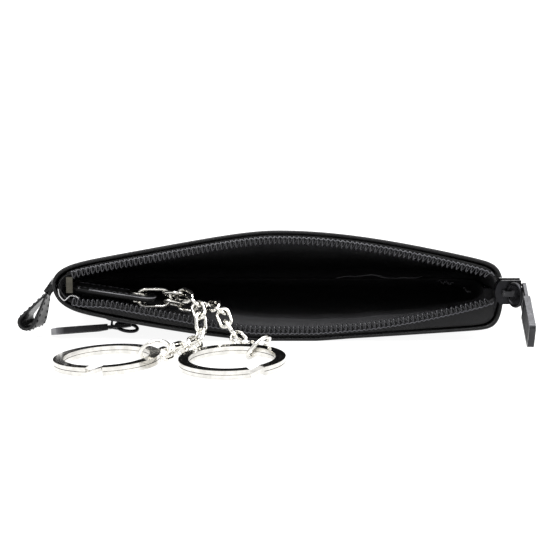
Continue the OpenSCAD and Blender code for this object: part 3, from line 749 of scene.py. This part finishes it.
def make_pocket_zip():
    """The tape and the closed coil of the outside pocket, along the curve of the underside."""
    half = WINDOW_W / 2 + TAPE_SIDE
    steps, wide, turn = 120, 12, 14
    rings = []
    for i in range(steps + 1):
        x = mix(ARC_FROM - TAPE_END, ARC_TO + TAPE_END, i / steps)
        ring = []
        for below in (True, False):
            for k in range(wide + 1):
                f = k / wide if below else 1 - k / wide
                dy = mix(-half, half, f)
                off = POCKET_TAPE_OFF + (0.04 * math.sin(dy * 6) if below else TAPE_T)
                ring.append(arc_pt(x, off, dy))
        rings.append(ring)
    add_piece("pocket_tape_cloth", *sweep_grid(rings), "tape", "case", ["pocket_zip_tape"])
    parts = []
    n = int((ARC_TO - ARC_FROM - 2 * COIL_PITCH) / COIL_PITCH)
    mid_off = POCKET_TAPE_OFF - RUN_GAP - COIL_T / 2
    h, d = (COIL_W - COIL_WIRE) / 2, (COIL_T - COIL_WIRE) / 2
    for side in (-1, 1):
        path = []
        for i in range(n):
            x = ARC_FROM + (i + 1.5) * COIL_PITCH + (COIL_PITCH / 2 if side > 0 else 0)
            for k in range(turn):
                f = k / turn
                c, s = math.cos(2 * math.pi * f), math.sin(2 * math.pi * f)
                dy = side * (COIL_W / 2 + HEAD_GAP + h * math.copysign(abs(c) ** SQUARE_H, c))
                path.append(arc_pt(x + COIL_PITCH * ease(STEP_FROM, 1, f), mid_off - d * s, dy))
        parts.append(tube(path, COIL_WIRE / 2, 6))
    add_piece("pocket_coil_wire", *join(parts), "coil", "case", ["pocket_zip_coil"])


# The cut end: how ragged it is, and how far its corners, CUT_HALF from its middle, are rounded back
RAGGED, CUT_ROUND, CUT_HALF = 0.35, 0.5, 2.7


def make_zip_end():
    """Both tapes run out past the leather; their ends are cut and a little ragged."""
    lo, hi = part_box("zip_tail")
    lo, hi = [c / MM for c in lo], [c / MM for c in hi]
    mid = (lo[2] + hi[2]) / 2
    rings = []
    for i in range(25):
        out = i / 24
        x = mix(lo[0], hi[0], out)
        ring = []
        for front in (True, False):
            for k in range(17):
                z = mix(lo[2], hi[2], k / 16 if front else 1 - k / 16)
                rag = RAGGED * wobble(z * 3, 1.7, 1) * out**4
                end = rag - CUT_ROUND * out**6 * (abs(z - mid) / CUT_HALF) ** 4
                y = lo[1] + 0.02 if front else hi[1]
                ring.append((x + end, y + 0.04 * math.sin(z * 5 + x), z))
        rings.append(ring)
    add_piece("zip_end_tape", *sweep_grid(rings), "tape", "case", ["zip_tail"])


LOOP_W, LOOP_T, LOOP_L, LOOP_D = 8.0, 1.0, 13.0, 4.6
LOOP_DIP, LOOP_TWIST = 54.0, -20.0
EDGE_TUCK = 0.16
LOOP_Y, LOOP_SEAT = 2.5, 1.5
LOOP_ROOT = (-HALF_W - 2.4 * SOFT_GAP, LOOP_Y, LEFT_SEAM - LOOP_SEAT)


def drop_path(length, d, n=44):
    """The outline of a teardrop from its point, round the end and back."""
    c, r = length - d / 2, d / 2
    a = math.acos(r / c)
    leg = 0.3
    pts = []
    for k in range(n):
        f = k / (n - 1)
        if f < leg:
            g = f / leg
            pts.append((mix(0, c - r * math.cos(a), g), mix(0, r * math.sin(a), g)))
        elif f <= 1 - leg:
            g = math.pi - a - (f - leg) / (1 - 2 * leg) * 2 * (math.pi - a)
            pts.append((c + r * math.cos(g), r * math.sin(g)))
        else:
            g = (f - 1 + leg) / leg
            pts.append((mix(c - r * math.cos(a), 0, g), mix(-r * math.sin(a), 0, g)))
    return pts


def loop_place(u, v, w):
    """From the loop's own frame (along, across, depth) to the case's; it twists towards its end."""
    dip, yaw = math.radians(LOOP_DIP), math.radians(LOOP_TWIST * ease(-2, LOOP_L, u))
    x = -(u * math.cos(dip) + v * math.sin(dip)) - w * math.sin(yaw)
    z = -u * math.sin(dip) + v * math.cos(dip)
    return (LOOP_ROOT[0] + x, LOOP_ROOT[1] + w * math.cos(yaw), LOOP_ROOT[2] + z)


def make_loop():
    """The side loop: a folded strip, its root in the seam, painted edges and a line of stitches."""
    outer = drop_path(LOOP_L, LOOP_D)
    inner = [(3 * LOOP_T + u, v) for u, v in drop_path(LOOP_L - 4 * LOOP_T, LOOP_D - 2 * LOOP_T)]
    rings = []
    for a, b in zip(outer, inner):
        ring = []
        for near, far, back in ((a, b, False), (b, a, True)):
            for k in range(13):
                f = 1 - k / 12 if back else k / 12
                tuck = EDGE_TUCK * abs(2 * f - 1) ** 8
                ring.append(loop_place(mix(near[0], far[0], tuck), mix(near[1], far[1], tuck), LOOP_W * f))
        rings.append(ring)
    body = add_piece("loop_leather", *sweep_grid(rings), "loop_leather", "side_loop", ["side_loop"])
    root = [[loop_place(u, v, w) for v, w in
             [(-1.0, 0.1), (-0.3, 0), (0.3, 0), (1.0, 0.1), (1.0, LOOP_W - 0.1), (-1.0, LOOP_W - 0.1)]]
            for u in (-1.4, -0.7, 0, 0.8, 1.6)]
    for k, ring in enumerate(root):
        root[k] = [(x + (0.5 if k == 0 else 0), y, z) for x, y, z in ring]
    add_piece("loop_root", *sweep_grid(root), "loop_leather", "side_loop")
    body.data.set_sharp_from_angle(angle=math.radians(50))
    parts = []
    for w in (0.0, LOOP_W):
        mid = [loop_place((a[0] + b[0]) / 2, (a[1] + b[1]) / 2, w) for a, b in zip(outer, inner)]
        parts.append(tube(mid, 0.2, 6))
    add_piece("loop_edge_paint", *join(parts), "loop_edge", "side_loop")
    stitches = []
    for w in (1.2, LOOP_W - 1.2):
        for k in range(3, len(outer) - 3, 2):
            p, q = [np.array(loop_place(u + (u - LOOP_L / 2) * 0.01, v * 1.05, w)) for u, v in outer[k:k + 2]]
            stitches.append(tube([p + (q - p) * f for f in (0.1, 0.5, 0.9)], 0.11, 6))
    add_piece("loop_stitches", *join(stitches), "thread", "side_loop")


STRAP_W, STRAP_T, STRAP_L = 8.0, 1.5, 21.0
STRAP_IN, STRAP_Y, STRAP_LOW, STRAP_ROOM = 4.7, 2.6, 2.4, 2.3
EYELET_IN, EYELET_D = 4.6, 3.4


def make_strap():
    """The inner strap with its round end and eyelet, swept round the eyelet's hole."""
    root = (-HALF_W + STRAP_IN, STRAP_Y, LEFT_SEAM - STRAP_LOW)
    end_z = arc_z(root[0] + STRAP_L) + POCKET_ROOM + LINING_T + STRAP_ROOM
    dip = math.asin((root[2] - end_z) / STRAP_L)

    def place(u, v, w):
        return (root[0] + u * math.cos(dip) + w * math.sin(dip), root[1] + v,
                root[2] - u * math.sin(dip) + w * math.cos(dip))

    r = STRAP_W / 2
    eye = (STRAP_L - EYELET_IN, r)
    outline = []
    for k in range(121):
        g = 2 * math.pi * k / 120
        c, s = math.cos(g), math.sin(g)
        # How far the strap reaches from the eyelet in this direction
        reach = math.inf
        if c < -1e-6:
            reach = min(reach, -eye[0] / c)
        if abs(s) > 1e-6:
            side = r / abs(s)
            if eye[0] + side * c <= STRAP_L - r:
                reach = min(reach, side)
        b = eye[0] - (STRAP_L - r)
        disc = b * b * c * c - (b * b - r * r)
        round_hit = -b * c + math.sqrt(max(0, disc))
        if eye[0] + round_hit * c >= STRAP_L - r - 1e-6:
            reach = min(reach, round_hit)
        outline.append((c, s, reach))
    rings = []
    hole = EYELET_D / 2 + RUN_GAP
    steps = [0, 0.2, 0.45, 0.7, 0.88, 0.96, 1.0]
    for c, s, reach in outline:
        ring = []
        for up, w in ((1, STRAP_T), (-1, 0.0)):
            for f in steps[::up]:
                d = mix(hole, reach, f)
                puff = 0.12 * math.sin(math.pi * f) - 0.22 * ease(0.9, 1, f) - 0.12
                ring.append(place(eye[0] + d * c, eye[1] + d * s, w + up * puff))
            if up > 0:
                ring.append(place(eye[0] + reach * c, eye[1] + reach * s, STRAP_T / 2))
        rings.append(ring)
    verts, faces = sweep_grid(rings, caps=False)
    add_piece("strap_leather_piece", verts, faces, "strap_leather", "strap", ["inner_strap"])
    edge = []
    for c, s, reach in outline:
        if eye[0] + reach * c > 0.3:
            edge.append(place(eye[0] + (reach - 0.05) * c, eye[1] + (reach - 0.05) * s, STRAP_T - 0.28))
    far_end = min(range(len(edge)), key=lambda i: edge[i][0])
    edge = edge[far_end + 1:] + edge[:far_end + 1]
    # The edge cord is real edge paint, coloured light grey as a painted highlight
    add_piece("strap_edge_highlight_paint", *tube(edge, 0.17, 6), "strap_edge", "strap")
    stitches = []
    from_edge, pitch, stitch = 0.9, 1.5, 0.9
    for v in (from_edge, STRAP_W - from_edge):
        for u in np.arange(1.0, STRAP_L - r, pitch):
            lift = [(f, STRAP_T - 0.02 + 0.05 * math.sin(math.pi * f)) for f in (0, 0.5, 1)]
            stitches.append(tube([place(u + stitch * f, v, w) for f, w in lift], 0.1, 6))
    add_piece("strap_stitches", *join(stitches), "thread", "strap")


FOLD_HALF = 0.17


def curve_at(a, b, c, d, f):
    """A smooth curve from b to c, with a and d as their neighbours."""
    bend = (2 * a - 5 * b + 4 * c - d) * f * f
    return 0.5 * (2 * b + (c - a) * f + bend + (3 * b - a - 3 * c + d) * f**3)


def make_tape_fold():
    """The lower tape's cut end is folded in at the left seam; its edge is pale grey, a painted highlight."""
    pts = [(-55.0, 13.3), (-54.7, 11.7), (-53.6, 10.4), (-52.6, 11.1), (-51.9, 11.6), (-50.7, 11.4),
           (-49.6, 10.7)]
    smooth = []
    for i in range(len(pts) - 1):
        near = list(zip(pts[max(0, i - 1)], pts[i], pts[i + 1], pts[min(len(pts) - 1, i + 2)]))
        smooth += [[curve_at(*n, k / 8) for n in near] for k in range(8)]
    rings = []
    for i, (x, z) in enumerate(smooth):
        j = min(i + 1, len(smooth) - 1)
        k = max(i - 1, 0)
        dx, dz = smooth[j][0] - smooth[k][0], smooth[j][1] - smooth[k][1]
        n = math.hypot(dx, dz)
        nx, nz = -dz / n * FOLD_HALF, dx / n * FOLD_HALF
        sides = ((1, 0.1), (1, 1.3), (-1, 1.3), (-1, 0.1))
        rings.append([(x + side * nx, y, z + side * nz) for side, y in sides])
    add_piece("tape_fold", *sweep_grid(rings), "tape", "case")
    edge = [(x, 0.0, z) for x, z in smooth]
    # Painted highlight: a pale cord along the fold's edge
    add_piece("tape_fold_edge_highlight", *tube(edge, 0.14, 6), "tape_edge", "case")


leather_top, leather_low = make_leather()
lining_top, lining_low, bag = make_linings()
tape_top = tape_piece("upper_tape_cloth", 1, ["upper_tape"])
tape_low = tape_piece("lower_tape_cloth", -1, ["lower_tape"])
coil_top, thread_top = main_coil("upper_coil_wire", 1, ["upper_coil"])
main_coil("lower_coil_wire", -1, ["lower_coil"])
make_lining_folds()
make_pocket_zip()
make_zip_end()
make_loop()
make_strap()
make_tape_fold()


# Stage: a pale floor and a white tent whose camera side is darker
def make_stage():
    sc = bpy.context.scene
    sc.view_settings.view_transform = "Standard"
    sc.world = bpy.data.worlds.new("studio")
    sc.world.use_nodes = True
    nt = sc.world.node_tree
    tc = node(nt, "ShaderNodeTexCoord")
    sep = node(nt, "ShaderNodeSeparateXYZ")
    nt.links.new(tc.outputs["Generated"], sep.inputs[0])
    mp = node(nt, "ShaderNodeMapRange")
    mp.inputs["From Min"].default_value = -1
    nt.links.new(sep.outputs["Y"], mp.inputs["Value"])
    shade = ramp(nt, mp.outputs["Result"], [(0.0, (0.1, 0.1, 0.105)), (0.4, even(1))])
    nt.links.new(shade, nt.nodes["Background"].inputs["Color"])
    nt.nodes["Background"].inputs["Strength"].default_value = 1.15
    me = bpy.data.meshes.new("floor")
    reach = 3
    corners = [(-reach, -reach, 0), (reach, -reach, 0), (reach, reach, 0), (-reach, reach, 0)]
    me.from_pydata(corners, [], [(0, 1, 2, 3)])
    fl = bpy.data.objects.new("floor", me)
    sc.collection.objects.link(fl)
    fl.location.z = -0.0001
    m, nt, b = new_mat("floor")
    b.inputs["Base Color"].default_value = (0.15, 0.15, 0.15, 1)
    b.inputs["Roughness"].default_value = 0.9
    b.inputs["Emission Color"].default_value = (1, 1, 1, 1)
    b.inputs["Emission Strength"].default_value = 0.92
    me.materials.append(m)
    for name, loc, size, power, aim in [
        ("key", (-0.25, -0.35, 0.8), 0.5, 9, (0, 0, 0)),
        ("top", (0.1, 0.2, 0.9), 0.8, 14, (0, 0, 0)),
        ("side", (0.7, -0.3, 0.3), 0.4, 4, (0, 0, 0.01)),
        ("fill", (-0.05, -0.6, 0.12), 0.5, 0.6, (0, 0, 0.015)),
    ]:
        li = bpy.data.lights.new(name, "AREA")
        li.size = size
        li.energy = power
        o = bpy.data.objects.new(name, li)
        sc.collection.objects.link(o)
        o.location = loc
        o.rotation_mode = "QUATERNION"
        o.rotation_quaternion = (Vector(aim) - Vector(loc)).to_track_quat("-Z", "Y")


make_stage()

# As the slider closes the mouth, the upper half sinks towards the seam; here its pieces only get meshes of
# their own
for ob in (leather_top, lining_top, tape_top, coil_top, thread_top):
    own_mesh(ob)
